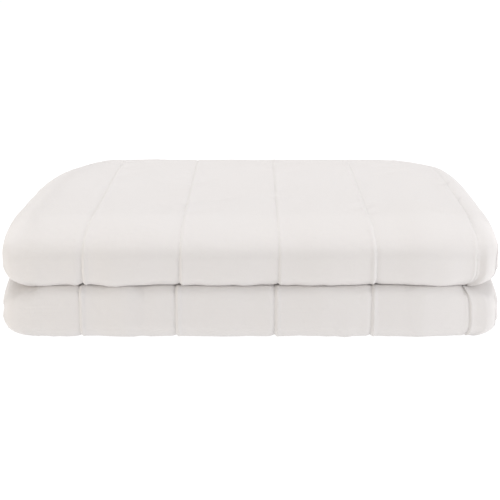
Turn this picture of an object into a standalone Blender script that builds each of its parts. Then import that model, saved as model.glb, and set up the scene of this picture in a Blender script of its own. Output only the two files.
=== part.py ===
"""A filled, channel-quilted blanket, folded in half sideways and then back and forth in four layers.

The flat blanket is a slab whose two skins draw together along the stitched seams and round the rim.
Its points then go through three moves: the fold in half, the folds back and forth, and the settling
of the stack under its own weight. Metres, +Z up. The stack rests on z = 0 with its centre on the
origin, its two front bends face -Y, the half fold is at -X and the long hems are at +X.
"""

import math
from collections import namedtuple

import bmesh
import bpy
import numpy as np

# The cloth, laid flat.
PLY_THICKNESS = 0.0153  # filled cloth between two seams
SEAM_THICKNESS = 0.0085  # stitched through
HEM_THICKNESS = 0.0100  # at the sewn rim
GROOVE_WIDTH = 0.0150  # from a seam to where the skin is level again
HEM_ROUNDING = 0.0120  # over this depth the rim fills out
END_STITCH = 0.0140  # row that closes the channels, from each end

# The fold in half: lower ply, bend at the left, upper ply.
PLY_GAP = 0.0012
WIDTH = 0.6534
HALF_ROUNDNESS = 0.60  # exponent of the section of a bend: 1 is round, less is squarer

# The folds back and forth.
LAYERS = 4
LAYER_GAP = 0.0018
DEPTH = 0.4700
HEM_REACH = 0.0240  # the two end hems run on this far past the straight part
UPPER_REACH = (1.15, 2.00)  # each front bend starts this many of its radii back at its top
UPPER_ROUNDNESS = (0.50, 0.76)  # exponents above and below the middle of each front bend
LOWER_ROUNDNESS = 0.60
BEND_PUFF = 0.060  # share of its radius that a bend swells by between two seams

# The settled stack.
WEIGHT_SQUEEZE = 0.012  # the lowest layers are thinner by this share, the top ones thicker
LEAN_BACK = 0.0120  # top of the stack against its bottom
END_ZONE = 0.120  # the ends change shape over this length
CORNER_ZONE = 0.060  # the front corners draw in over this length
FRONT_ZONE = 0.030  # and over this depth
TAPER_ZONE = 0.160  # the ends draw in slowly over this depth
BACK_ZONE = 0.200  # the back corners are rounded over this depth
BACK_FULLNESS = 0.96  # 1 rounds them to a quarter ellipse, less leaves them a little squarer
RISE_ZONE = 0.150
FRONT_RISE = 0.0035  # the lower front bend stands this much taller than the layers behind it
WAIST_POWER = 2.0  # how closely the waist keeps to the gap between the bundles
TOP_WAIST = 0.6  # share of the waist by which the topmost rim draws in
BUNDLES = 2  # layers lie in twos, each two joined by a front bend
BACK_SINK = 0.0090  # the top sinks towards the end hem
SPREAD = 0.0055  # the lowest layers are pushed out at their ends
RIPPLE = 0.0008  # a slow unevenness of the top
RIPPLE_WAVES = (17.0, 11.0)  # radians a metre, along x and y
RIPPLE_STARTS = (1.3, -0.6)

# How each end of the stack gives: its waist between the bundles, how the top sinks at it, how far its
# front corner draws in and back, how far the end tapers towards the front and leans in towards the
# back, and how far its back corner draws in and sinks.
End = namedtuple("End", "waist sink front_in front_back taper lean_in back_in back_sink")
LEFT_END = End(0.0160, 0.0050, 0.0040, 0.0045, 0.0236, 0.0205, 0.0440, 0.0140)
RIGHT_END = End(0.0125, 0.0045, 0.0040, 0.0045, 0.0165, -0.0010, 0.0200, 0.0114)

# Distance of each seam from the long hem, at the first end (lowest layer) and the last end (top layer).
Seam = namedtuple("Seam", "first_end last_end")
SEAMS = (
    Seam(0.0447, 0.0197),
    Seam(0.1752, 0.1642),
    Seam(0.2949, 0.2865),
    Seam(0.4192, 0.4082),
    Seam(0.5382, 0.5287),
)

# Where the mesh has its lines.
BESIDE_SEAM = (0.3 * GROOVE_WIDTH, GROOVE_WIDTH)
IN_LONG_HEM = (0.0045,)
IN_END_HEM = (0.0040, END_STITCH)
HALF_BEND_STEPS = 2
FRONT_TURNS = (0.0, 8.0, 26.0, 52.0, 90.0, 122.0, 150.0, 168.0)
BACK_TURNS = (0.0, 36.0, 72.0, 108.0, 144.0)
FROM_BACK = (0.0, 0.08, 0.30, 0.70)  # shares of a layer's straight run

CLOTH_COLOUR = (0.82, 0.79, 0.77)
CLOTH_ROUGHNESS = 0.85

# Worked out from the sizes above.
PLY_PITCH = PLY_THICKNESS + PLY_GAP
LAYER_THICKNESS = PLY_PITCH + PLY_THICKNESS
LAYER_PITCH = LAYER_THICKNESS + LAYER_GAP
HEIGHT = LAYERS * LAYER_THICKNESS + (LAYERS - 1) * LAYER_GAP
LAYER_RADIUS = (LAYER_PITCH + LAYER_THICKNESS) / 2
HALF_BEND = math.pi * PLY_PITCH / 2
BEND = math.pi * LAYER_PITCH / 2
PLY_RUN = WIDTH - LAYER_THICKNESS / 2
FLAT_WIDTH = 2 * PLY_RUN + HALF_BEND
LAYER_RUN = DEPTH - 2 * LAYER_RADIUS
FLAT_LENGTH = LAYERS * LAYER_RUN + (LAYERS - 1) * BEND + 2 * HEM_REACH
FRONT = -LAYER_RUN / 2
BACK = LAYER_RUN / 2


def smooth(share):
    """Rises from 0 to 1 with level ends as share goes from 0 to 1."""
    share = np.clip(share, 0.0, 1.0)
    return share * share * (3.0 - 2.0 * share)


def quarter_round(share, fullness):
    """Rises from 0 to 1 like the end of an ellipse: level at first and steepest at 1."""
    share = np.clip(share, 0.0, 1.0)
    return (1.0 - np.sqrt(1.0 - (fullness * share) ** 2)) / (1.0 - math.sqrt(1.0 - fullness**2))


def lines_across():
    """Distance from the long hem of every mesh line of one half, at the first and the last end."""
    seams = np.array(SEAMS)
    fold = np.full((1, 2), FLAT_WIDTH / 2)
    marks = np.vstack((seams, fold))
    lines = [np.zeros(2)]
    lines += [np.full(2, step) for step in IN_LONG_HEM]
    lines += [seams[0] - BESIDE_SEAM[0]]
    for near, far in zip(marks[:-1], marks[1:]):
        at_fold = far[0] == fold[0, 0]
        last = fold[0] - HALF_BEND / 2 if at_fold else far
        lines += [near]
        lines += [near + step for step in BESIDE_SEAM]
        lines += [(near + far) / 2]
        if not at_fold:
            lines += [last - step for step in reversed(BESIDE_SEAM)]
    for step in range(HALF_BEND_STEPS):
        lines += [fold[0] - HALF_BEND / 2 * (1 - step / HALF_BEND_STEPS)]
    half = np.array(lines)
    other_half = FLAT_WIDTH - half[::-1]
    return np.vstack((half, fold, other_half))


def lines_along():
    """Distance from the first end of every mesh line across the cloth."""
    lines = [0.0, *IN_END_HEM]
    for layer in range(LAYERS):
        start = HEM_REACH + layer * (LAYER_RUN + BEND)
        forward = layer % 2 == 0
        shares = FROM_BACK if forward else [1.0 - share for share in reversed(FROM_BACK)]
        lines += [start + LAYER_RUN * share for share in shares]
        turns = FRONT_TURNS if forward else BACK_TURNS
        if layer < LAYERS - 1:
            lines += [start + LAYER_RUN + BEND * turn / 180.0 for turn in turns]
    lines += [FLAT_LENGTH - place for place in reversed((0.0, *IN_END_HEM))]
    return np.array(lines)


def nearest_seam(across, along):
    """Distance to the nearest seam of a channel, and the height of the crown between two seams."""
    share = along / FLAT_LENGTH
    fold = FLAT_WIDTH / 2
    mirrored = fold - np.abs(across - fold)
    seams = np.array([seam.first_end + (seam.last_end - seam.first_end) * share for seam in SEAMS])
    marks = np.concatenate((seams, np.full((1,) + share.shape, fold)))
    distance = np.abs(mirrored - marks).min(axis=0)
    crown = smooth(distance / (0.5 * (SEAMS[1].first_end - SEAMS[0].first_end)))
    return distance, crown


def ply_thickness(across, along):
    """Thickness of the flat cloth: grooves at the seams and end rows, and a rounded rim.

    Also gives how far the middle of the cloth moves at the rim towards the ply it is folded onto.
    """
    to_seam, _ = nearest_seam(across, along)
    to_end = np.minimum(along, FLAT_LENGTH - along)
    to_row = np.abs(to_end - END_STITCH)
    to_hem = np.minimum(np.minimum(across, FLAT_WIDTH - across), to_end)
    dip = 1.0 - np.clip(np.minimum(to_seam, to_row) / GROOVE_WIDTH, 0.0, 1.0)
    thick = PLY_THICKNESS - (PLY_THICKNESS - SEAM_THICKNESS) * dip**2
    rim = 1.0 - np.clip(to_hem / HEM_ROUNDING, 0.0, 1.0)
    rounded = HEM_THICKNESS + (thick - HEM_THICKNESS) * np.sqrt(1.0 - rim**2)
    return rounded, (thick - rounded) / 2


def fold_in_half(across, outward):
    """Folds the cloth sideways: gives x, and the lift from the middle of the doubled layer."""
    turn = np.clip((across - PLY_RUN) / HALF_BEND, 0.0, 1.0) * math.pi
    radius = PLY_PITCH / 2 + outward
    lower = np.minimum(across, PLY_RUN)
    upper = np.maximum(across - PLY_RUN - HALF_BEND, 0.0)
    x = WIDTH / 2 - lower + upper - radius * np.sin(turn).clip(0.0, 1.0) ** HALF_ROUNDNESS
    return x, -radius * np.sign(np.cos(turn)) * np.abs(np.cos(turn)) ** HALF_ROUNDNESS


def front_profile(turn, upper_reach, upper_roundness):
    """Section of a front bend of radius 1: a tight lower corner, an upright face, a sloping top."""
    below = turn < math.pi / 2
    roundness = np.where(below, LOWER_ROUNDNESS, upper_roundness)
    reach = np.sin(turn).clip(0.0, 1.0) ** roundness
    rise = -np.sign(np.cos(turn)) * np.abs(np.cos(turn)) ** roundness
    return np.where(below, reach, 1.0 - upper_reach * (1.0 - reach)), rise


def fold_back_and_forth(along, lift, crown):
    """Folds the doubled layer lengthwise, back and forth from the bottom up: gives y and z."""
    place = along - HEM_REACH
    layer = np.clip(np.floor(place / (LAYER_RUN + BEND)), 0, LAYERS - 1)
    place = place - layer * (LAYER_RUN + BEND)
    forward = layer % 2 == 0
    turn = np.clip((place - LAYER_RUN) / BEND, 0.0, 1.0) * math.pi
    turn = np.where(layer < LAYERS - 1, turn, 0.0)
    side = np.where(forward, -1.0, 1.0)
    middle = LAYER_THICKNESS / 2 + layer * LAYER_PITCH

    radius = LAYER_PITCH / 2 + side * lift
    bent = radius * (1.0 + BEND_PUFF * crown * np.sin(turn) ** 2)
    upper_reach = np.where(layer < LAYERS / 2, *UPPER_REACH)
    upper_roundness = np.where(layer < LAYERS / 2, *UPPER_ROUNDNESS)
    reach, rise = front_profile(turn, upper_reach, upper_roundness)
    bend_y = np.where(forward, FRONT - bent * reach, BACK + bent * np.sin(turn))
    bend_z = middle + LAYER_PITCH / 2 + bent * np.where(forward, rise, -np.cos(turn))

    start = FRONT + (upper_reach - 1.0) * (LAYER_PITCH / 2 - side * lift)
    straight_y = np.where(forward, BACK - place, start + place * (BACK - start) / LAYER_RUN)
    straight_z = middle - side * lift
    return np.where(turn > 0.0, bend_y, straight_y), np.where(turn > 0.0, bend_z, straight_z)


def settle(x, y, z):
    """Lets the stack sink, lean and draw in at its ends and corners; z = 0 stays level."""
    share = z / HEIGHT
    past_end = (np.abs(x) - WIDTH / 2) / END_ZONE + 1.0
    in_end = smooth(past_end)
    dome = np.clip(past_end, 0.0, 1.0) ** 2
    in_corner = smooth((np.abs(x) - WIDTH / 2) / CORNER_ZONE + 1.0)
    at_front = smooth((-y - DEPTH / 2 + FRONT_ZONE) / FRONT_ZONE)
    near_front = np.clip((-y - DEPTH / 2 + TAPER_ZONE) / TAPER_ZONE, 0.0, 1.0) ** 2
    at_back = quarter_round((y - DEPTH / 2 + BACK_ZONE) / BACK_ZONE, BACK_FULLNESS)
    in_bends = smooth((-y - DEPTH / 2 + RISE_ZONE) / RISE_ZONE)
    bundle = BUNDLES * share
    in_bundle = bundle - np.clip(np.floor(bundle), 0, BUNDLES - 1)
    from_middle = np.abs(2.0 * in_bundle - 1.0).clip(0.0, 1.0)
    end = End(*(np.where(x < 0.0, left, right) for left, right in zip(LEFT_END, RIGHT_END)))

    level = z * (1.0 - WEIGHT_SQUEEZE + WEIGHT_SQUEEZE * share)
    sink = BACK_SINK * at_back + dome * (end.sink + end.back_sink * at_back)
    along_x = np.sin(RIPPLE_WAVES[0] * x + RIPPLE_STARTS[0])
    ripple = RIPPLE * along_x * np.cos(RIPPLE_WAVES[1] * y + RIPPLE_STARTS[1])
    rise = FRONT_RISE * in_bends * 4.0 * share * (1.0 - share)
    new_z = level - sink * share**3 + ripple * share + rise

    waist = end.waist * from_middle**WAIST_POWER * (1.0 - at_back)
    waist = waist * np.where(bundle > BUNDLES - 0.5, TOP_WAIST, 1.0)
    drawn = waist + end.taper * near_front + end.back_in * at_back
    drawn = drawn + end.lean_in * (y / DEPTH + 0.5) - SPREAD * (1.0 - share) ** 3
    new_x = x - np.sign(x) * (in_end * drawn + in_corner * end.front_in * at_front)
    new_y = y + LEAN_BACK * share + end.front_back * in_end * at_front
    return new_x, new_y, new_z


def placed(across, along, skin_side):
    """Where a point of a skin of the flat cloth lies in the folded stack."""
    _, crown = nearest_seam(across, along)
    thickness, inward = ply_thickness(across, along)
    x, lift = fold_in_half(across, skin_side * thickness / 2 - inward)
    y, z = fold_back_and_forth(along, lift, crown)
    return np.stack(settle(x, y, z), axis=-1)


def blanket_mesh(name):
    """Builds the slab on its mesh lines, draws its skins in at the seams, and folds it."""
    across_lines = lines_across()
    along_lines = lines_along()
    cloth = bmesh.new()
    bmesh.ops.create_grid(
        cloth,
        x_segments=len(across_lines) - 1,
        y_segments=len(along_lines) - 1,
        size=0.5,
    )
    skin = bmesh.ops.extrude_face_region(cloth, geom=cloth.faces[:], use_keep_orig=True)
    for point in skin["geom"]:
        if isinstance(point, bmesh.types.BMVert):
            point.co.z = 1.0
    bmesh.ops.recalc_face_normals(cloth, faces=cloth.faces[:])
    mesh = bpy.data.meshes.new(name)
    cloth.to_mesh(mesh)
    cloth.free()

    flat = np.empty(len(mesh.vertices) * 3)
    mesh.vertices.foreach_get("co", flat)
    flat = flat.reshape(-1, 3)
    column = np.rint((flat[:, 0] + 0.5) * (len(across_lines) - 1)).astype(int)
    row = np.rint((flat[:, 1] + 0.5) * (len(along_lines) - 1)).astype(int)
    skin_side = np.where(flat[:, 2] > 0.5, -1.0, 1.0)

    along = along_lines[row]
    share = along / FLAT_LENGTH
    first, last = across_lines[column].T
    across = first + (last - first) * share
    mesh.vertices.foreach_set("co", placed(across, along, skin_side).ravel())
    mesh.update()
    return mesh


def stand_on_origin(mesh):
    """Moves the mesh so that it rests on z = 0 with the middle of its box over the origin."""
    points = np.empty(len(mesh.vertices) * 3)
    mesh.vertices.foreach_get("co", points)
    points = points.reshape(-1, 3)
    low = points.min(axis=0)
    high = points.max(axis=0)
    points -= (low + high) / 2 * np.array((1.0, 1.0, 0.0)) + low * np.array((0.0, 0.0, 1.0))
    mesh.vertices.foreach_set("co", points.ravel())
    mesh.update()


def cloth_material():
    """Matt off-white woven cloth."""
    material = bpy.data.materials.new("quilted_cloth")
    material.use_nodes = True
    shader = material.node_tree.nodes["Principled BSDF"]
    shader.inputs["Base Color"].default_value = (*CLOTH_COLOUR, 1.0)
    shader.inputs["Roughness"].default_value = CLOTH_ROUGHNESS
    shader.inputs["Metallic"].default_value = 0.0
    return material


def clear_scene():
    """Removes whatever the open file holds."""
    for item in list(bpy.data.objects):
        bpy.data.objects.remove(item, do_unlink=True)


def main():
    """Makes the folded blanket in a collection of its own."""
    clear_scene()
    collection = bpy.data.collections.new("folded_weighted_blanket")
    bpy.context.scene.collection.children.link(collection)
    mesh = blanket_mesh("blanket")
    stand_on_origin(mesh)
    mesh.shade_smooth()
    blanket = bpy.data.objects.new("blanket", mesh)
    blanket.data.materials.append(cloth_material())
    collection.objects.link(blanket)


main()
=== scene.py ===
"""Looks of a channel-quilted weighted blanket that lies folded in a stack of four doubled layers.

The cloth is drawn flat as two skins on a grid of (across, along): across runs from one long hem to
the other, along from one end hem to the other. Every point then goes through the moves of the
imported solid: the fold in half, the folds back and forth, and the settling under its own weight. In
between, the front bends are pressed together. Metres, +Z up, the front bends face -Y.
"""

import logging
import math
import sys
from dataclasses import dataclass, field
from enum import Enum

import bpy
import numpy as np
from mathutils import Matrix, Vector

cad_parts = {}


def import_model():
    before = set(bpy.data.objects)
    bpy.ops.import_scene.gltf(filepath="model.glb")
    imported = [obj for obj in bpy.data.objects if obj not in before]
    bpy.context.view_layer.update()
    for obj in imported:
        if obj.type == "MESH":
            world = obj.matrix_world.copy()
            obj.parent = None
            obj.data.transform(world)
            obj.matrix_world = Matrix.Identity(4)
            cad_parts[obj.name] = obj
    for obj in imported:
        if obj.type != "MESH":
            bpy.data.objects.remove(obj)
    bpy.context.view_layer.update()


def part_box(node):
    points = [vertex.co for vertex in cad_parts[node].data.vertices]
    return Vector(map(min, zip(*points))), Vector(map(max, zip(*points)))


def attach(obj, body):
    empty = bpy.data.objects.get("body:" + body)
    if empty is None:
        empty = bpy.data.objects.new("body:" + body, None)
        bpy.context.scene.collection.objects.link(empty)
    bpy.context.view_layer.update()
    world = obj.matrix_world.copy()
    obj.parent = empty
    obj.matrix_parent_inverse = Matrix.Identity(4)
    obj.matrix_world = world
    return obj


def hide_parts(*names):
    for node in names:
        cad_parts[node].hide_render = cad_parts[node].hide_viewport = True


LOG = logging.getLogger("folded_blanket")
WHITE = (1.0, 1.0, 1.0, 1.0)
Array = np.ndarray
Triple = tuple[float, float, float]


class Skin(Enum):
    """The two faces of the flat cloth."""

    OUTER = 1.0
    INNER = -1.0


class Tint(Enum):
    """Linear colours of the cloth and of the thread, with a darker cloth colour for painted shade in
    the seams.
    """

    CLOTH = (0.686, 0.663, 0.657, 1.0)
    CLOTH_WARM = (0.676, 0.647, 0.632, 1.0)
    # Painted shade: a slightly darker cloth colour laid along the seams.
    SEAM_SHADE = (0.682, 0.657, 0.645, 1.0)
    THREAD = (0.760, 0.742, 0.730, 1.0)


@dataclass(frozen=True)
class SeamLine:
    """A channel seam: its distance from the long hem at the bottom layer's end and at the top's."""

    first_end: float
    last_end: float


@dataclass(frozen=True)
class EndShape:
    """How one end of the stack gives, in metres of movement.

    The waist draws in the crevices, the sink lowers the top, front_in and front_back round the
    front corners, the taper draws in the front and lean_in the back, and back_in and back_sink
    round the back corners.
    """

    waist: float
    sink: float
    front_in: float
    front_back: float
    taper: float
    lean_in: float
    back_in: float
    back_sink: float


@dataclass(frozen=True)
class Crease:
    """A soft fold of the outer skin: middle, half length, turn in degrees, height and width."""

    across: float
    along: float
    half_length: float
    turn: float
    height: float
    width: float


def smooth(share: Array) -> Array:
    """Rises from 0 to 1 with level ends: 3 s^2 - 2 s^3.

    Args:
        share: Any numbers; those outside 0 to 1 count as 0 or 1.

    Returns:
        The smoothed share.
    """
    share = np.clip(share, 0.0, 1.0)
    return share * share * (3.0 - 2.0 * share)


def quarter_round(share: Array, fullness: float) -> Array:
    """Rises from 0 to 1 like the end of an ellipse: 1 - sqrt(1 - (f s)^2), scaled to end at 1.

    Args:
        share: Any numbers; those outside 0 to 1 count as 0 or 1.
        fullness: f, up to 1 for a true quarter ellipse.

    Returns:
        The rounded share.
    """
    share = np.clip(share, 0.0, 1.0)
    return (1.0 - np.sqrt(1.0 - (fullness * share) ** 2)) / (1.0 - math.sqrt(1.0 - fullness**2))


def slow_noise(u: Array, v: Array, seed: int) -> Array:
    """Smooth value noise: random heights on a unit lattice, blended with the smooth share.

    Args:
        u: First coordinate, in lattice steps.
        v: Second coordinate, in lattice steps.
        seed: Chooses the lattice.

    Returns:
        Heights between -1 and 1.
    """
    size = 64  # the pattern repeats after this many steps
    lattice = np.random.default_rng(seed).uniform(-1.0, 1.0, (size, size))
    left = np.floor(u).astype(int)
    low = np.floor(v).astype(int)
    s = smooth(u - left)
    t = smooth(v - low)
    a = lattice[left % size, low % size]
    b = lattice[(left + 1) % size, low % size]
    c = lattice[left % size, (low + 1) % size]
    d = lattice[(left + 1) % size, (low + 1) % size]
    return (a * (1 - s) + b * s) * (1 - t) + (c * (1 - s) + d * s) * t


@dataclass(frozen=True)
class Patches:
    """Slow noise over the flat cloth: the size of its patches across and along, and its seed."""

    across: float
    along: float
    seed: int

    def at(self, across: Array, along: Array) -> Array:
        """Noise between -1 and 1 at places on the cloth."""
        return slow_noise(across / self.across, along / self.along, self.seed)


def grid_mesh(name: str, points: Array, faces: Array) -> bpy.types.Object:
    """Makes a smooth-shaded object at the origin from points and quads.

    Args:
        name: Name of the object and its mesh.
        points: Corner positions, one row each.
        faces: Four corner numbers a row.

    Returns:
        The linked object.
    """
    mesh = bpy.data.meshes.new(name)
    mesh.vertices.add(len(points))
    mesh.vertices.foreach_set("co", points.ravel())
    mesh.loops.add(faces.size)
    mesh.loops.foreach_set("vertex_index", faces.ravel())
    mesh.polygons.add(len(faces))
    mesh.polygons.foreach_set("loop_start", np.arange(0, faces.size, 4))
    mesh.update(calc_edges=True)
    mesh.validate()
    mesh.shade_smooth()
    piece = bpy.data.objects.new(name, mesh)
    bpy.context.scene.collection.objects.link(piece)
    return piece


def add_node(
    tree: bpy.types.NodeTree, kind: str, inputs: dict[str | int, object], **settings: str
) -> bpy.types.Node:
    """Adds a shader node with its settings; inputs given as sockets are linked, others are set.

    Args:
        tree: The material's nodes.
        kind: Blender's name of the node.
        inputs: A socket or a value for each input, by name or number.
        settings: The node's own properties, such as its operation.

    Returns:
        The node.
    """
    node = tree.nodes.new(kind)
    for name, value in settings.items():
        setattr(node, name, value)
    for key, value in inputs.items():
        if isinstance(value, bpy.types.NodeSocket):
            tree.links.new(value, node.inputs[key])
        else:
            node.inputs[key].default_value = value
    return node


def new_material(
    name: str, inputs: dict[str, float | tuple[float, ...]]
) -> tuple[bpy.types.Material, bpy.types.Node]:
    """Makes a material with these inputs of its Principled shader, and returns both."""
    material = bpy.data.materials.new(name)
    material.use_nodes = True
    shader = material.node_tree.nodes["Principled BSDF"]
    for key, value in inputs.items():
        shader.inputs[key].default_value = value
    return material, shader


@dataclass(frozen=True)
class Spots:
    """Places on the flat cloth.

    beside is the signed distance to the nearest sewn seam, crown is 1 in mid channel, on_top is 1
    on the top layer, and inside is 1 away from the hems.
    """

    across: Array
    along: Array
    beside: Array
    crown: Array
    on_top: Array
    inside: Array


@dataclass(frozen=True)
class SewnRelief:
    """Heights in metres that sewing and handling add to the outer skin, seen from outside."""

    # The seams: the cut is only on the bends, the welt is lower on top and in the hem seam.
    seam_fill: float = 0.0010
    fill_width: float = 0.0095
    bend_cut: float = 0.0003
    bend_cut_width: float = 0.0016
    top_cut_width: float = 0.0013
    welt: float = 0.0019
    top_welt: float = 0.0008
    welt_offset: float = 0.0036
    welt_width: float = 0.0022
    hem_channel: float = 0.0900
    hem_welt: float = 0.45
    # Puckers beside the seams: an uneven beat whose strength is a base and a varying share.
    pucker: float = 0.00070
    pucker_pitch: float = 0.0135
    pucker_start: float = 0.0015
    pucker_reach: float = 0.0090
    pucker_shift: float = 2.4
    pucker_shares: tuple[float, float] = (0.6, 0.4)
    pucker_beat: Patches = Patches(0.050, 0.045, 5)
    pucker_strength: Patches = Patches(0.060, 0.080, 6)
    # The unevenness of the channels.
    channel_crown: float = 0.0006
    slow_wave: float = 0.0018
    wave_patches: Patches = Patches(0.085, 0.110, 1)
    upright_fold: float = 0.0038
    upright_start: float = 0.006
    upright_lines: Patches = Patches(0.0115, 0.085, 4)
    upright_patches: Patches = Patches(0.050, 0.060, 7)
    soft_wrinkle: float = 0.0018
    wrinkle_slant: tuple[float, float] = (0.8, 0.6)
    wrinkle_contrast: float = 1.2
    wrinkle_lines: Patches = Patches(0.016, 0.070, 2)
    wrinkle_patches: Patches = Patches(0.100, 0.090, 3)
    creases: tuple[Crease, ...] = (
        Crease(0.455, 1.560, 0.030, 38.0, 0.0016, 0.0050),
        Crease(0.470, 1.600, 0.026, 42.0, 0.0012, 0.0045),
        Crease(0.100, 1.640, 0.040, -30.0, 0.0012, 0.0065),
        Crease(0.235, 1.500, 0.030, 60.0, 0.0010, 0.0065),
        Crease(0.350, 1.690, 0.034, -52.0, 0.0010, 0.0065),
        Crease(0.585, 1.470, 0.030, 24.0, 0.0014, 0.0060),
    )

    def seams(self, spots: Spots) -> Array:
        """Height beside the seams: filling, a cut, a welt on one side, and puckers.

        The filling is a squared dip, the cut and the welt are bell curves. The puckers are a sine
        along the seam, uneven in beat and strength, that dies away with the distance from it.

        Args:
            spots: Places on the cloth.

        Returns:
            The added height.
        """
        across, along, to_seam = spots.across, spots.along, np.abs(spots.beside)
        dip = 1.0 - np.clip(to_seam / self.fill_width, 0.0, 1.0)
        wider = (self.top_cut_width - self.bend_cut_width) * spots.on_top
        cut = np.exp(-((to_seam / (self.bend_cut_width + wider)) ** 2))
        cut = self.bend_cut * (1.0 - spots.on_top) * cut
        welt = self.welt + (self.top_welt - self.welt) * spots.on_top
        welt = welt * np.where(across < self.hem_channel, self.hem_welt, 1.0)
        welt = welt * np.exp(-(((spots.beside - self.welt_offset) / self.welt_width) ** 2))

        beat = 2.0 * math.pi * along / self.pucker_pitch
        beat = beat + self.pucker_shift * self.pucker_beat.at(across, along)
        base, varying = self.pucker_shares
        strength = base + varying * self.pucker_strength.at(across, along)
        fade = np.exp(-to_seam / self.pucker_reach) * smooth(to_seam / self.pucker_start)
        puckers = self.pucker * strength * fade * np.sin(beat)
        return self.seam_fill * dip**2 - cut + welt + puckers

    def channels(self, spots: Spots) -> Array:
        """Slow waves times the crown, and upright folds on the bends: narrow times broad noise."""
        place = (spots.across, spots.along)
        waves = self.slow_wave * self.wave_patches.at(*place) * spots.crown
        upright = self.upright_lines.at(*place) * self.upright_patches.at(*place)
        off_seam = smooth(np.abs(spots.beside) / self.upright_start)
        return waves + self.upright_fold * upright * (1.0 - spots.on_top) * off_seam

    def wrinkles(self, spots: Spots) -> Array:
        """Soft slanting wrinkles: stretched noise on a turned grid, in patches."""
        across, along = spots.across, spots.along
        cosine, sine = self.wrinkle_slant
        turned = (across * cosine + along * sine, along * cosine - across * sine)
        lines = self.wrinkle_lines.at(*turned)
        patches = smooth(0.5 + self.wrinkle_contrast * self.wrinkle_patches.at(across, along))
        return self.soft_wrinkle * patches * lines

    def folds(self, spots: Spots) -> Array:
        """The listed creases: each a ridge beside a trough that fades out at its ends."""
        height = np.zeros(spots.across.shape)
        for crease in self.creases:
            turn = math.radians(crease.turn)
            du = spots.across - crease.across
            dv = spots.along - crease.along
            length = (du * math.cos(turn) + dv * math.sin(turn)) / crease.half_length
            side = (dv * math.cos(turn) - du * math.sin(turn)) / crease.width
            height = height - crease.height * side * np.exp(-2.0 * length**2 - side**2)
        return height

    def height(self, spots: Spots) -> Array:
        """The whole relief: the sum of its parts. Crowns, seams and wrinkles fade at the hems."""
        sewn = self.channel_crown * spots.crown + self.seams(spots) + self.wrinkles(spots)
        return sewn * spots.inside + self.channels(spots) + self.folds(spots)


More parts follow.
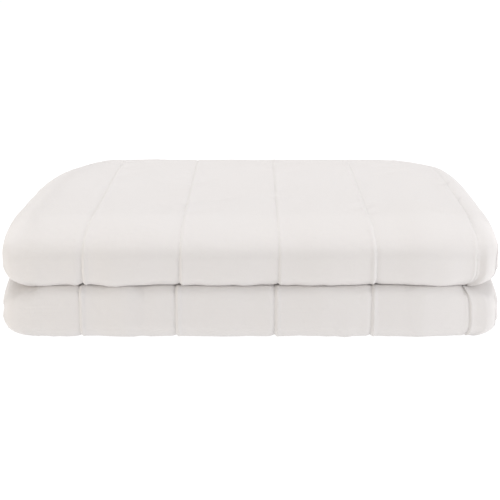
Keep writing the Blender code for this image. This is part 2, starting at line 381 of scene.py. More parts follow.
@dataclass(frozen=True)
class FoldedCloth:
    """Sizes of the cloth in metres, and the maps that fold it.

    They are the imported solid's own, apart from narrower seams, a rounder upper bend, deeper waists
    at the ends, a fuller back corner at the left, and the relief.
    """

    # The cloth, laid flat.
    ply: float = 0.0153
    seam_ply: float = 0.0115
    hem_ply: float = 0.0100
    groove: float = 0.0095
    hem_rounding: float = 0.0120
    end_stitch: float = 0.0140
    rim_round: float = 0.0035
    rim_edge: float = 0.0004
    seams: tuple[SeamLine, ...] = (
        SeamLine(0.0447, 0.0197),
        SeamLine(0.1752, 0.1642),
        SeamLine(0.2949, 0.2865),
        SeamLine(0.4192, 0.4082),
        SeamLine(0.5382, 0.5287),
    )
    # The fold in half.
    ply_gap: float = 0.0012
    width: float = 0.6534
    half_roundness: float = 0.60
    # The folds back and forth. Pairs are for the lower and the upper front bend.
    layers: int = 4
    layer_gap: float = 0.0018
    depth: float = 0.4700
    hem_reach: float = 0.0240
    upper_reach: tuple[float, float] = (1.15, 3.00)
    upper_roundness: tuple[float, float] = (0.38, 0.86)
    lower_roundness: tuple[float, float] = (0.60, 0.42)
    bend_puff: float = 0.060
    # The settled stack.
    weight_squeeze: float = 0.012
    lean_back: float = 0.0120
    step_back: float = 0.0014
    step_zone: float = 0.200
    end_zone: float = 0.120
    corner_zone: float = 0.060
    front_zone: float = 0.030
    taper_zone: float = 0.160
    back_zone: float = 0.200
    back_fullness: float = 0.96
    rise_zone: float = 0.150
    front_rise: float = 0.0035
    waist_zone: float = 0.065
    waist_power: float = 4.0
    top_waist: float = 0.6
    bundles: int = 2
    back_sink: float = 0.0090
    spread: float = 0.0055
    ripple: float = 0.0008
    ripple_waves: tuple[float, float] = (17.0, 11.0)
    ripple_starts: tuple[float, float] = (1.3, -0.6)
    left: EndShape = EndShape(0.0300, 0.0050, 0.0040, 0.0045, 0.0236, 0.0205, 0.0430, 0.0105)
    right: EndShape = EndShape(0.0250, 0.0045, 0.0040, 0.0045, 0.0165, -0.0010, 0.0200, 0.0114)
    # The pressed lips of the front bends.
    lip_press: float = 0.0026
    lip_touch: float = 0.00008
    lip_reach: float = 0.0160
    lip_zone: float = 0.0700
    # The relief and where it shows.
    bend_fade: float = 0.34
    top_fade: float = 0.0400
    hem_calm: float = 0.020
    welts_turned: int = 2
    relief: SewnRelief = SewnRelief()

    @property
    def ply_pitch(self) -> float:
        """From the middle of one ply to the middle of the other."""
        return self.ply + self.ply_gap

    @property
    def layer(self) -> float:
        """Thickness of the doubled layer."""
        return self.ply_pitch + self.ply

    @property
    def layer_pitch(self) -> float:
        """From layer to layer."""
        return self.layer + self.layer_gap

    @property
    def height(self) -> float:
        """Height of the stack before it settles."""
        return self.layers * self.layer + (self.layers - 1) * self.layer_gap

    @property
    def half_bend(self) -> float:
        """Flat length taken up by the fold in half."""
        return math.pi * self.ply_pitch / 2

    @property
    def bend(self) -> float:
        """Flat length taken up by one fold of the doubled layer."""
        return math.pi * self.layer_pitch / 2

    @property
    def ply_run(self) -> float:
        """From the long hem to the fold in half."""
        return self.width - self.layer / 2

    @property
    def flat_width(self) -> float:
        """Width of the blanket laid flat."""
        return 2 * self.ply_run + self.half_bend

    @property
    def run(self) -> float:
        """Straight length of a layer."""
        return self.depth - self.layer_pitch - self.layer

    @property
    def lap(self) -> float:
        """A straight run and the bend after it."""
        return self.run + self.bend

    @property
    def flat_length(self) -> float:
        """Length of the blanket laid flat."""
        return self.layers * self.run + (self.layers - 1) * self.bend + 2 * self.hem_reach

    def seam_marks(self, along: Array) -> Array:
        """Distance of every seam from the long hem, a straight line for each."""
        share = along / self.flat_length
        rows = [seam.first_end + (seam.last_end - seam.first_end) * share for seam in self.seams]
        return np.array(rows)

    def from_seams(self, across: Array, along: Array) -> Array:
        """Signed distance from every seam or its mirror image beyond the fold in half."""
        fold = self.flat_width / 2
        return fold - np.abs(across - fold) - self.seam_marks(along)

    def nearest_seam(self, across: Array, along: Array) -> tuple[Array, Array]:
        """Distance to the nearest of the seams, their mirror images and the fold in half.

        Args:
            across: Places across the cloth.
            along: Places along it.

        Returns:
            The distance, and the crown that rises from 0 at a seam to 1 in mid channel.
        """
        to_fold = np.abs(across - self.flat_width / 2)
        distance = np.minimum(np.abs(self.from_seams(across, along)).min(axis=0), to_fold)
        half_channel = 0.5 * (self.seams[1].first_end - self.seams[0].first_end)
        return distance, smooth(distance / half_channel)

    def beside_seam(self, across: Array, along: Array) -> Array:
        """Signed distance to the nearest sewn seam, positive on the side that its welt lies on.

        That is the side towards the long hem. In the upper bundle it is the other side for the
        seams nearest to the hem.

        Args:
            across: Places across the cloth.
            along: Places along it.

        Returns:
            The distance.
        """
        signed = self.from_seams(across, along)
        nearest = np.abs(signed).argmin(axis=0)
        distance = np.take_along_axis(signed, nearest[None], axis=0)[0]
        upper = along > self.hem_reach + 2 * self.lap + self.run / 2
        return np.where((nearest < self.welts_turned) & upper, distance, -distance)

    def to_hems(self, across: Array, along: Array) -> tuple[Array, Array]:
        """Distance to the nearest end hem, and to the nearest hem of all."""
        to_end = np.minimum(along, self.flat_length - along)
        return to_end, np.minimum(np.minimum(across, self.flat_width - across), to_end)

    def thickness(self, across: Array, along: Array) -> tuple[Array, Array]:
        """Thickness of the flat cloth: a squared dip at seams and end rows, a quarter-round rim.

        Within the last few millimetres a second quarter round closes the rim to a thin edge.

        Args:
            across: Places across the cloth.
            along: Places along it.

        Returns:
            The thickness, and how far the rim's middle moves towards the ply it is folded onto.
        """
        to_seam, _ = self.nearest_seam(across, along)
        to_end, to_hem = self.to_hems(across, along)
        to_row = np.abs(to_end - self.end_stitch)
        dip = 1.0 - np.clip(np.minimum(to_seam, to_row) / self.groove, 0.0, 1.0)
        thick = self.ply - (self.ply - self.seam_ply) * dip**2
        rim = 1.0 - np.clip(to_hem / self.hem_rounding, 0.0, 1.0)
        rounded = self.hem_ply + (thick - self.hem_ply) * np.sqrt(1.0 - rim**2)
        inward = (thick - rounded) / 2
        edge = 1.0 - np.clip(to_hem / self.rim_round, 0.0, 1.0)
        closing = self.rim_edge + (rounded - self.rim_edge) * np.sqrt(1.0 - edge**2)
        return closing, inward

    def on_top(self, along: Array) -> Array:
        """1 on the top layer, 0 on the front bend below it and beyond, smooth between."""
        start = self.flat_length - self.hem_reach - self.run
        return smooth((along - start) / self.top_fade + 1.0)

    def showing(self, along: Array) -> Array:
        """How much a place along the cloth shows.

        It is 1 on the top layer and the bends, and 0 on the other straight runs. A bend fades at
        both ends of its turn, where it lies against its neighbour, but not into the top layer.

        Args:
            along: Places along the cloth.

        Returns:
            The share, 0 to 1.
        """
        place = along - self.hem_reach
        layer = np.clip(np.floor(place / self.lap), 0, self.layers - 1)
        turn = (place - layer * self.lap - self.run) / self.bend
        before_top = layer >= self.layers - 2
        leaving = np.where(before_top, 1.0, smooth((1.0 - turn) / self.bend_fade))
        bend = smooth(turn / self.bend_fade) * leaving
        return np.where(layer >= self.layers - 1, 1.0, bend)

    def spots(self, across: Array, along: Array) -> Spots:
        """Gathers what the relief has to know about places on the cloth."""
        beside = self.beside_seam(across, along)
        _, crown = self.nearest_seam(across, along)
        inside = smooth(self.to_hems(across, along)[1] / self.hem_calm)
        return Spots(across, along, beside, crown, self.on_top(along), inside)

    def fold_in_half(self, across: Array, outward: Array) -> tuple[Array, Array]:
        """Folds the cloth sideways round a squared half circle.

        The lower ply runs to the left from the hems and the upper ply back. Round the bend, x and
        the lift are powers of the turn's sine and cosine times the radius.

        Args:
            across: Places across the cloth.
            outward: Distance from the cloth's middle towards the outside of the fold.

        Returns:
            x, and the lift from the middle of the doubled layer.
        """
        turn = np.clip((across - self.ply_run) / self.half_bend, 0.0, 1.0) * math.pi
        radius = self.ply_pitch / 2 + outward
        lower = np.minimum(across, self.ply_run)
        upper = np.maximum(across - self.ply_run - self.half_bend, 0.0)
        reach = np.sin(turn).clip(0.0, 1.0) ** self.half_roundness
        rise = -np.sign(np.cos(turn)) * np.abs(np.cos(turn)) ** self.half_roundness
        return self.width / 2 - lower + upper - radius * reach, radius * rise

    def fold_back_and_forth(self, along: Array, lift: Array, crown: Array) -> tuple[Array, Array]:
        """Lays the doubled layer in straight runs that are joined by bends, from the bottom up.

        A back bend is a half circle. The section of a front bend is powers of the turn's sine and
        cosine, one below its middle and one above, and above it is stretched back by the upper
        reach. The bends swell with the squared sine of the turn.

        Args:
            along: Places along the cloth.
            lift: Distance from the middle of the doubled layer.
            crown: 1 in mid channel, where a bend swells most.

        Returns:
            y and z.
        """
        place = along - self.hem_reach
        layer = np.clip(np.floor(place / self.lap), 0, self.layers - 1)
        place = place - layer * self.lap
        forward = layer % 2 == 0
        turn = np.clip((place - self.run) / self.bend, 0.0, 1.0) * math.pi
        turn = np.where(layer < self.layers - 1, turn, 0.0)
        side = np.where(forward, -1.0, 1.0)
        middle = self.layer / 2 + layer * self.layer_pitch
        front = -self.run / 2
        back = self.run / 2

        radius = self.layer_pitch / 2 + side * lift
        bent = radius * (1.0 + self.bend_puff * crown * np.sin(turn) ** 2)
        low_half = layer < self.layers / 2
        upper_reach = np.where(low_half, *self.upper_reach)
        below = turn < math.pi / 2
        power = np.where(low_half, *self.upper_roundness)
        power = np.where(below, np.where(low_half, *self.lower_roundness), power)
        reach = np.sin(turn).clip(0.0, 1.0) ** power
        reach = np.where(below, reach, 1.0 - upper_reach * (1.0 - reach))
        rise = -np.sign(np.cos(turn)) * np.abs(np.cos(turn)) ** power
        bend_y = np.where(forward, front - bent * reach, back + bent * np.sin(turn))
        bend_z = middle + self.layer_pitch / 2 + bent * np.where(forward, rise, -np.cos(turn))

        start = front + (upper_reach - 1.0) * (self.layer_pitch / 2 - side * lift)
        straight_y = np.where(forward, back - place, start + place * (back - start) / self.run)
        straight_z = middle - side * lift
        return np.where(turn > 0.0, bend_y, straight_y), np.where(turn > 0.0, bend_z, straight_z)

    def near_end(self, x: Array, zone: float) -> Array:
        """Rises straight to 1 at an end of the stack, from 0 a zone before it."""
        return (np.abs(x) - self.width / 2) / zone + 1.0

    def near_front(self, y: Array, zone: float) -> Array:
        """Rises straight to 1 at the front of the stack, from 0 a zone behind it."""
        return (-y - self.depth / 2 + zone) / zone

    def settle(self, x: Array, y: Array, z: Array) -> tuple[Array, Array, Array]:
        """Sinks the top, leans the stack back and draws its ends and corners in.

        Each move is its size times shares that rise smoothly over a zone at an end, the front or
        the back, and grows with the height or with the distance from a bundle's middle. A slow
        ripple, the sine along x times the cosine along y, is added to the height.

        Args:
            x: Place along the stack's long side.
            y: Place from front to back.
            z: Height.

        Returns:
            The moved x, y and z. A point at z = 0 stays at that height.
        """
        share = z / self.height
        past_end = self.near_end(x, self.end_zone)
        in_end = smooth(past_end)
        dome = np.clip(past_end, 0.0, 1.0) ** 2
        in_corner = smooth(self.near_end(x, self.corner_zone))
        at_front = smooth(self.near_front(y, self.front_zone))
        taper = np.clip(self.near_front(y, self.taper_zone), 0.0, 1.0) ** 2
        at_back = (y - self.depth / 2 + self.back_zone) / self.back_zone
        at_back = quarter_round(at_back, self.back_fullness)
        in_bends = smooth(self.near_front(y, self.rise_zone))
        bundle = self.bundles * share
        in_bundle = bundle - np.clip(np.floor(bundle), 0, self.bundles - 1)
        from_middle = np.abs(2.0 * in_bundle - 1.0).clip(0.0, 1.0)

        def end(name: str) -> Array:
            """The left end's size where x is negative and the right end's elsewhere."""
            return np.where(x < 0.0, getattr(self.left, name), getattr(self.right, name))

        level = z * (1.0 - self.weight_squeeze + self.weight_squeeze * share)
        sink = self.back_sink * at_back + dome * (end("sink") + end("back_sink") * at_back)
        wave = np.sin(self.ripple_waves[0] * x + self.ripple_starts[0])
        wave = wave * np.cos(self.ripple_waves[1] * y + self.ripple_starts[1])
        rise = self.front_rise * (1.0 - dome) * in_bends * 4.0 * share * (1.0 - share)
        new_z = level - sink * share**3 + self.ripple * wave * share + rise

        waist = end("waist") * from_middle**self.waist_power * (1.0 - at_back)
        waist = waist * np.where(bundle > self.bundles - 0.5, self.top_waist, 1.0)
        drawn = end("taper") * taper + end("back_in") * at_back
        drawn = drawn + end("lean_in") * (y / self.depth + 0.5) - self.spread * (1.0 - share) ** 3
        corner = in_corner * end("front_in") * at_front
        in_waist = smooth(self.near_end(x, self.waist_zone))
        new_x = x - np.sign(x) * (in_end * drawn + in_waist * waist + corner)
        step = self.step_back * smooth(self.near_front(y, self.step_zone)) * (share > 0.5)
        new_y = y + self.lean_back * share + step + end("front_back") * in_end * at_front
        return new_x, new_y, new_z

    def press_lips(self, y: Array, z: Array) -> Array:
        """Presses the two bundles together at the front, by an amount that dies away from the gap.

        Every point stays on its side of the middle of the gap, so the bundles don't cross.

        Args:
            y: Place from front to back.
            z: Height.

        Returns:
            The moved height.
        """
        from_gap = z - self.height / 2
        at_front = smooth(self.near_front(y, self.lip_zone))
        away = np.abs(from_gap)
        pressed = away - self.lip_press * at_front * np.exp(-away / self.lip_reach)
        pressed = np.maximum(pressed, np.minimum(away, self.lip_touch))
        return self.height / 2 + np.sign(from_gap) * pressed

    def placed(self, across: Array, along: Array, skin: Skin, with_relief: bool = True) -> Array:
        """Where points of one skin of the flat cloth lie in the folded stack.

        Args:
            across: Places across the cloth.
            along: Places along it.
            skin: Which face.
            with_relief: Whether the outer skin carries its relief.

        Returns:
            Positions, with x, y and z last, before the stack is centred.
        """
        _, crown = self.nearest_seam(across, along)
        thickness, inward = self.thickness(across, along)
        outward = skin.value * thickness / 2 - inward
        if skin is Skin.OUTER and with_relief:
            outward = outward + self.relief.height(self.spots(across, along)) * self.showing(along)
        x, lift = self.fold_in_half(across, outward)
        y, z = self.fold_back_and_forth(along, lift, crown)
        z = self.press_lips(y, z)
        return np.stack(self.settle(x, y, z), axis=-1)


@dataclass(frozen=True)
class QuiltedCotton:
    """Closely woven off-white cotton with a soft brushed face.

    The noises are the rumple, the nap and the drift of the colour; the bumps are the rumple, the
    nap and the weave.
    """

    name: str = "quilted_cotton"
    thread_pitch: float = 0.00052
    noise_scales: tuple[float, ...] = (130.0, 900.0, 4.0)
    noise_details: tuple[float, ...] = (3.0, 2.0, 2.0)
    bump_depths: tuple[float, ...] = (0.00045, 0.00010, 0.00006)
    roughness: float = 0.92
    sheen: float = 0.18
    sheen_roughness: float = 0.45
    specular: float = 0.22

    def build(self) -> bpy.types.Material:
        """Builds the cloth's nodes.

        The height is a plain weave, the sine of one thread count times that of the other on the
        cloth's own UV map, with nap and rumple noise. The colour drifts slowly between two
        off-whites, and painted shade makes it a little darker along the seams.

        Returns:
            The material.
        """
        inputs = {
            "Roughness": self.roughness,
            "Specular IOR Level": self.specular,
            "Sheen Weight": self.sheen,
            "Sheen Roughness": self.sheen_roughness,
        }
        material, shader = new_material(self.name, inputs)
        tree = material.node_tree
        flat = add_node(tree, "ShaderNodeUVMap", {}, uv_map="cloth").outputs["UV"]
        axes = add_node(tree, "ShaderNodeSeparateXYZ", {0: flat})
        waves = []
        for axis in ("X", "Y"):
            turns = {0: axes.outputs[axis], 1: math.pi / self.thread_pitch}
            turns = add_node(tree, "ShaderNodeMath", turns, operation="MULTIPLY").outputs[0]
            waves.append(add_node(tree, "ShaderNodeMath", {0: turns}, operation="SINE").outputs[0])
        weave = add_node(tree, "ShaderNodeMath", dict(enumerate(waves)), operation="MULTIPLY")

        place = tree.nodes.new("ShaderNodeTexCoord").outputs["Object"]
        noises = []
        for scale, detail in zip(self.noise_scales, self.noise_details):
            noise = {"Vector": place, "Scale": scale, "Detail": detail}
            noises.append(add_node(tree, "ShaderNodeTexNoise", noise).outputs[0])
        rumple, nap, drift = noises
        bump = {"Strength": 1.0}
        for height, depth in zip((rumple, nap, weave.outputs[0]), self.bump_depths):
            bump |= {"Distance": depth, "Height": height}
            bump["Normal"] = add_node(tree, "ShaderNodeBump", bump).outputs["Normal"]
        tree.links.new(bump["Normal"], shader.inputs["Normal"])

        tone = {"A": Tint.CLOTH.value, "B": Tint.CLOTH_WARM.value, "Factor": drift}
        tone = add_node(tree, "ShaderNodeMix", tone, data_type="RGBA").outputs["Result"]
        # Painted shade: the seam attribute mixes the colour toward the darker seam tint along the
        # seams.
        depth = add_node(tree, "ShaderNodeAttribute", {}, attribute_name="seam_shade")
        seam_shaded = {"A": tone, "B": Tint.SEAM_SHADE.value, "Factor": depth.outputs["Fac"]}
        seam_shaded = add_node(tree, "ShaderNodeMix", seam_shaded, data_type="RGBA").outputs["Result"]
        tree.links.new(seam_shaded, shader.inputs["Base Color"])
        return material


@dataclass(frozen=True)
class SewingThread:
    """Twisted off-white sewing thread."""

    name: str = "sewing_thread"
    roughness: float = 0.70
    sheen: float = 0.10
    twist_scale: float = 2600.0
    twist_depth: float = 0.0001

    def build(self) -> bpy.types.Material:
        """Builds the thread's material: a plain colour and a fine noise bump for the twist."""
        inputs = {
            "Base Color": Tint.THREAD.value,
            "Roughness": self.roughness,
            "Sheen Weight": self.sheen,
        }
        material, shader = new_material(self.name, inputs)
        tree = material.node_tree
        place = tree.nodes.new("ShaderNodeTexCoord").outputs["Object"]
        twist = {"Vector": place, "Scale": self.twist_scale}
        twist = add_node(tree, "ShaderNodeTexNoise", twist).outputs[0]
        bump = {"Distance": self.twist_depth, "Height": twist}
        bump = add_node(tree, "ShaderNodeBump", bump).outputs["Normal"]
        tree.links.new(bump, shader.inputs["Normal"])
        return material


@dataclass
class BlanketCover:
    """The whole quilted cloth as one closed surface.

    The tuples are distances of mesh lines from a seam, the rim or the end row, and the counts are
    steps between them. The two rooms keep other lines apart. The mesh is finer where it shows.
    """

    cloth: FoldedCloth
    finish: QuiltedCotton
    beside_seam: tuple[float, ...] = (0.0008, 0.0018, 0.0030, 0.0044, 0.0062, 0.0095)
    beside_hidden_seam: tuple[float, ...] = (0.0020, 0.0060, 0.0150)
    between: int = 8
    between_hidden: int = 3
    in_rim: tuple[float, ...] = (0.0, 0.0003, 0.0010, 0.0021, 0.0035, 0.0060, 0.0090, 0.0120)
    beside_row: tuple[float, ...] = (-0.0025, -0.001, 0.0, 0.001, 0.0025, 0.006)
    seam_room: float = 0.001
    row_room: float = 0.003
    fold_steps: int = 12
    front_steps: int = 36
    back_steps: int = 20
    run_steps: int = 14
    top_steps: int = 92
    # Width of the painted shade along the seams.
    seam_shade_width: float = 0.0022
    inner_skin_uv: float = 0.3
    centre: Array = field(default_factory=lambda: np.zeros(3))

    def half_lines(self, beside: tuple[float, ...], between: int) -> Array:
        """Mesh lines of one half of the cloth, from its rim to where the fold in half begins.

        Args:
            beside: Distances of lines from a seam.
            between: How many lines stand between two seams, apart from those.

        Returns:
            Distance from the long hem at the first end and at the last, one line a row.
        """
        cloth = self.cloth
        seams = np.array([[seam.first_end, seam.last_end] for seam in cloth.seams])
        stop = np.full(2, cloth.ply_run)
        lines = [np.full(2, step) for step in self.in_rim]
        previous = np.full(2, self.in_rim[-1])
        for number, seam in enumerate(seams):
            room = seam - previous
            near = [step for step in reversed(beside) if step < room.min() - self.seam_room]
            first = seam - near[0]
            count = between if number else 1
            for step in range(1, count + 1):
                lines.append(previous + (first - previous) * step / (count + 1))
            lines += [seam - step for step in near]
            lines.append(seam)
            lines += [seam + step for step in beside]
            previous = seam + beside[-1]
        for step in range(1, between + 1):
            lines.append(previous + (stop - previous) * step / (between + 1))
        return np.array(lines)

    def lines_across(self) -> Array:
        """Mesh lines from long hem to long hem: a row for each, its place at both ends."""
        cloth = self.cloth
        near = self.half_lines(self.beside_seam, self.between)
        far = cloth.flat_width - self.half_lines(self.beside_hidden_seam, self.between_hidden)[::-1]
        steps = np.linspace(0.0, 1.0, self.fold_steps + 1)
        fold = cloth.ply_run + cloth.half_bend * steps
        return np.vstack((near, np.stack((fold, fold), axis=1), far))

    def lines_along(self) -> Array:
        """Places along the cloth of the mesh lines from end hem to end hem."""
        cloth = self.cloth
        row = cloth.end_stitch
        hem = [step for step in self.in_rim if step < row - self.row_room]
        hem += [row + step for step in self.beside_row]
        pieces = [np.array(hem)]
        for layer in range(cloth.layers):
            start = cloth.hem_reach + layer * cloth.lap
            on_top = layer == cloth.layers - 1
            steps = self.top_steps if on_top else self.run_steps
            pieces.append(start + cloth.run * np.arange(steps) / steps)
            if on_top:
                pieces.append(np.array([start + cloth.run]))
            else:
                turns = self.front_steps if layer % 2 == 0 else self.back_steps
                pieces.append(start + cloth.run + cloth.bend * np.arange(turns) / turns)
        pieces.append(cloth.flat_length - np.array(hem)[::-1])
        return np.concatenate(pieces)

    def build(self, low: Array, high: Array) -> bpy.types.Object:
        """Folds both skins, closes the rim between them and centres the stack on the solid.

        Args:
            low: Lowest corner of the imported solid.
            high: Highest corner of it.

        Returns:
            The dressed object.
        """
        cloth = self.cloth
        along = self.lines_along()
        lines = self.lines_across()
        share = np.clip(along / cloth.flat_length, 0.0, 1.0)[:, None]
        across = lines[None, :, 0] + (lines[:, 1] - lines[:, 0])[None, :] * share
        along = np.broadcast_to(along[:, None], across.shape)
        plain = cloth.placed(across, along, Skin.OUTER, with_relief=False).reshape(-1, 3)
        self.centre = (plain.min(axis=0) + plain.max(axis=0) - low - high) / 2
        self.centre[2] = plain[:, 2].min() - low[2]
        skins = np.stack([cloth.placed(across, along, skin) for skin in Skin]) - self.centre
        skins[..., 2] = skins[..., 2].clip(low[2])

        rows, columns = across.shape
        numbers = np.arange(2 * rows * columns).reshape(2, rows, columns)
        skin_faces = (self._quads(numbers[0]), self._quads(numbers[1][:, ::-1]))
        faces = np.concatenate((*skin_faces, self._rim(numbers)))
        piece = grid_mesh("blanket_cover", skins.reshape(-1, 3), faces)
        self._dress(piece, across, along)
        return piece

    @staticmethod
    def _quads(numbers: Array) -> Array:
        """Quads between neighbouring rows and columns of corner numbers."""
        corners = (numbers[:-1, :-1], numbers[1:, :-1], numbers[1:, 1:], numbers[:-1, 1:])
        return np.stack([corner.ravel() for corner in corners], axis=1)

    @staticmethod
    def _rim(numbers: Array) -> Array:
        """Quads that join the outer skin's rim to the inner skin's, all the way round."""
        loops = []
        for skin in numbers:
            sides = (skin[0, :-1], skin[:-1, -1], skin[-1, :0:-1], skin[:0:-1, 0])
            loops.append(np.concatenate(sides))
        outer, inner = loops
        quads = (outer, np.roll(outer, -1), np.roll(inner, -1), inner)
        return np.stack(quads, axis=1)

    def _dress(self, piece: bpy.types.Object, across: Array, along: Array) -> None:
        """Gives the cloth its flat UV map, its painted seam shade and its material.

        Args:
            piece: The cover.
            across: Places across the cloth of one skin's corners.
            along: Places along it.
        """
        mesh = piece.data
        flat = np.stack((across, along), axis=-1).reshape(-1, 2)
        flat = np.concatenate((flat, flat + self.inner_skin_uv))
        corners = np.empty(len(mesh.loops), dtype=np.int32)
        mesh.loops.foreach_get("vertex_index", corners)
        layer = mesh.uv_layers.new(name="cloth")
        layer.uv.foreach_set("vector", flat[corners].ravel())
        # Painted shade: the colour darkens in a bell round each sewn seam.
        beside = self.cloth.beside_seam(across, along)
        depth = np.exp(-((beside / self.seam_shade_width) ** 2)).ravel()
        attribute = mesh.attributes.new("seam_shade", "FLOAT", "POINT")
        attribute.data.foreach_set("value", np.concatenate((depth, depth)))
        mesh.materials.append(self.finish.build())


@dataclass
class StitchRow:
    """One row of stitches: the middle of each, across and along the cloth."""

    across: Array
    along: Array


@dataclass
class Stitching:
    """Rows of short thread stitches that lie in the seams.

    A stitch stands off the skin by lift and arch, in thread radii, and cap closes its ends. probe
    is the step that finds directions on the skin. Rows run on past a bend by round_front or
    round_back.
    """

    cloth: FoldedCloth
    finish: SewingThread
    centre: Array
    pitch: float = 0.0034
    length: float = 0.0025
    radius: float = 0.00020
    rings: int = 4
    sides: int = 6
    probe: float = 0.0004
    lift: float = 0.15
    arch: float = 0.75
    cap: float = 0.97
    round_front: float = 0.02
    round_back: float = 0.03
    cap_halves: tuple[tuple[int, ...], ...] = ((0, 1, 2, 3), (3, 4, 5, 0))

    def stitch_points(self, across: Array, along: Array, direction: Array) -> Array:
        """Corners of every stitch: rings with the section of an ellipse, on a path along the skin.

        The path stands off the skin by a base share of the thread's radius and half a cosine wave.

        Args:
            across: Middle of each stitch across the cloth.
            along: Middle of each stitch along it.
            direction: Step across and along for one metre of seam, one row a stitch.

        Returns:
            Positions by stitch, ring and side.
        """
        ring = np.linspace(-0.5, 0.5, self.rings)
        offset = ring * self.length
        u = across[:, None] + offset * direction[:, :1]
        v = along[:, None] + offset * direction[:, 1:]
        middle = self.cloth.placed(u, v, Skin.OUTER)
        du = self.probe * direction[:, :1]
        dv = self.probe * direction[:, 1:]
        ahead = self.cloth.placed(u + du, v + dv, Skin.OUTER)
        beside = self.cloth.placed(u - dv, v + du, Skin.OUTER)
        forward = ahead - middle
        forward /= np.linalg.norm(forward, axis=-1, keepdims=True)
        sideways = beside - middle
        sideways -= forward * (sideways * forward).sum(axis=-1, keepdims=True)
        sideways /= np.linalg.norm(sideways, axis=-1, keepdims=True)
        outward = np.cross(sideways, forward)
        arch = np.cos(ring * math.pi)[:, None]
        middle = middle + outward * self.radius * (self.lift + self.arch * arch)
        angle = np.arange(self.sides) * 2.0 * math.pi / self.sides
        round_x = np.cos(angle)[:, None] * sideways[:, :, None, :]
        round_y = np.sin(angle)[:, None] * outward[:, :, None, :]
        girth = self.radius * np.sqrt(np.clip(1.0 - (2.0 * ring * self.cap) ** 2, 0.0, 1.0))
        return middle[:, :, None, :] + girth[:, None, None] * (round_x + round_y)

    def rows(self) -> list[StitchRow]:
        """Lists the sewn rows that show: channel seams on the top and bends, and the end rows."""
        cloth = self.cloth
        start = cloth.hem_reach
        first_turn = start + cloth.run
        last_lap = start + (cloth.layers - 1) * cloth.lap
        stretches = [(last_lap, cloth.flat_length - cloth.end_stitch, False)]
        for laps in (0, 2):
            begin = first_turn + laps * cloth.lap - self.round_front
            stretches.append((begin, start + (laps + 1) * cloth.lap, False))
        begin = first_turn + cloth.lap - self.round_back
        stretches.append((begin, start + 2 * cloth.lap + self.round_back, True))
        found = []
        for begin, end, mirrored in stretches:
            along = np.arange(begin, end, self.pitch)
            for mark in cloth.seam_marks(along):
                across = cloth.flat_width - mark if mirrored else mark
                found.append(StitchRow(across, along))
        margin = cloth.seams[0].last_end
        for along_row, low, high in (
            (cloth.flat_length - cloth.end_stitch, margin, cloth.ply_run),
            (cloth.end_stitch, cloth.flat_width - cloth.ply_run, cloth.flat_width - margin),
        ):
            across = np.arange(low, high, self.pitch)
            found.append(StitchRow(across, np.full(across.shape, along_row)))
        return found

    def build(self) -> bpy.types.Object:
        """Sews every row as one mesh of small closed threads.

        Returns:
            The dressed object.
        """
        rows = self.rows()
        across = np.concatenate([row.across for row in rows])
        along = np.concatenate([row.along for row in rows])
        directions = []
        for row in rows:
            path = np.stack((row.across, row.along), axis=1)
            step = np.gradient(path, axis=0)
            directions.append(step / np.linalg.norm(step, axis=1, keepdims=True))
        points = self.stitch_points(across, along, np.concatenate(directions)) - self.centre
        count = len(points)
        numbers = np.arange(count * self.rings * self.sides).reshape(count, self.rings, self.sides)
        turned = np.roll(numbers, -1, axis=2)
        quads = (numbers[:, :-1], numbers[:, 1:], turned[:, 1:], turned[:, :-1])
        caps = [numbers[:, 0, list(half)] for half in self.cap_halves]
        caps += [numbers[:, -1, list(half)[::-1]] for half in self.cap_halves]
        faces = np.concatenate((np.stack([quad.ravel() for quad in quads], axis=1), *caps))
        piece = grid_mesh("seam_stitches", points.reshape(-1, 3), faces)
        piece.data.materials.append(self.finish.build())
        return piece


@dataclass(frozen=True)
class SoftLight:
    """A square soft light: its name, place, side, watts and colour."""

    name: str
    place: Triple
    size: float
    power: float
    colour: Triple

    def build(self) -> None:
        """Hangs the light so that it faces the stack."""
        data = bpy.data.lights.new(self.name, "AREA")
        data.size = self.size
        data.energy = self.power
        data.color = self.colour
        light = bpy.data.objects.new(self.name, data)
        light.location = self.place
        towards = -np.array(self.place) / np.linalg.norm(self.place)
        tilt = math.acos(-towards[2])
        light.rotation_euler = (tilt, 0.0, math.atan2(towards[1], towards[0]) - math.pi / 2)
        bpy.context.scene.collection.objects.link(light)


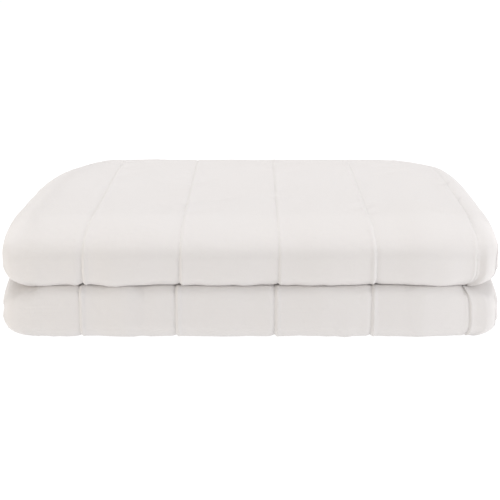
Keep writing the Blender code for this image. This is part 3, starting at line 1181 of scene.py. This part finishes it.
@dataclass(frozen=True)
class Studio:
    """Pale floor, even white surroundings, two side lights, a large light above and the camera."""

    floor_size: float = 24.0
    sky: float = 0.55
    floor_glow: float = 0.94
    floor_tone: tuple[float, float, float, float] = (0.16, 0.16, 0.16, 1.0)
    floor_roughness: float = 0.9
    place: Triple = (-0.0032, -1.4216, 0.5047)
    pitch: float = 18.0
    yaw: float = 0.1
    lens: float = 73.7
    sensor: float = 36.0
    lights: tuple[SoftLight, ...] = (
        SoftLight("left_light", (-1.20, -0.84, 0.34), 0.7, 5.6, (1.0, 0.93, 0.82)),
        SoftLight("right_light", (1.20, -0.84, 0.34), 0.7, 7.4, (0.98, 0.985, 1.0)),
        SoftLight("top_light", (0.0, 1.2, 2.8), 3.0, 79.0, (1.0, 0.995, 0.995)),
    )

    def build(self) -> None:
        """Makes the floor, the lights and the camera."""
        self._floor()
        self._surroundings()
        for light in self.lights:
            light.build()
        self._camera()

    def _floor(self) -> None:
        """Lays a large level sheet with the floor's finish."""
        half = self.floor_size / 2
        corners = half * np.array([(-1, -1, 0), (1, -1, 0), (1, 1, 0), (-1, 1, 0)])
        floor = grid_mesh("studio_floor", corners, np.array([[0, 1, 2, 3]]))
        inputs = {
            "Base Color": self.floor_tone,
            "Roughness": self.floor_roughness,
            "Specular IOR Level": 0.0,
            "Emission Color": WHITE,
            "Emission Strength": self.floor_glow,
        }
        floor.data.materials.append(new_material("studio_floor", inputs)[0])

    def _surroundings(self) -> None:
        """Lights the scene evenly from all round."""
        world = bpy.data.worlds.new("studio")
        world.use_nodes = True
        shader = world.node_tree.nodes["Background"]
        shader.inputs["Color"].default_value = WHITE
        shader.inputs["Strength"].default_value = self.sky
        bpy.context.scene.world = world
        bpy.context.scene.view_settings.view_transform = "Standard"

    def _camera(self) -> None:
        """Sets the camera up at the photograph's angle."""
        data = bpy.data.cameras.new("camera")
        data.lens = self.lens
        data.sensor_width = self.sensor
        camera = bpy.data.objects.new("camera", data)
        camera.location = self.place
        camera.rotation_euler = (math.radians(90.0 - self.pitch), 0.0, math.radians(-self.yaw))
        bpy.context.scene.collection.objects.link(camera)
        bpy.context.scene.camera = camera


def settle_in(piece: bpy.types.Object) -> None:
    """Lets a piece go with the blanket's body, and reports it.

    Args:
        piece: A finished piece.
    """
    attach(piece, "root")
    LOG.info("%s: %d faces", piece.name, len(piece.data.polygons))


def main() -> None:
    """Builds the blanket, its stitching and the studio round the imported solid."""
    logging.basicConfig(level=logging.INFO, format="%(message)s", stream=sys.stdout)
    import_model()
    low, high = (np.array(corner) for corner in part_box("blanket"))

    cloth = FoldedCloth()
    cover = BlanketCover(cloth, QuiltedCotton())
    blanket = cover.build(low, high)
    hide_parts("blanket")
    settle_in(blanket)

    stitching = Stitching(cloth, SewingThread(), cover.centre).build()
    settle_in(stitching)

    Studio().build()


if __name__ == "__main__":
    main()
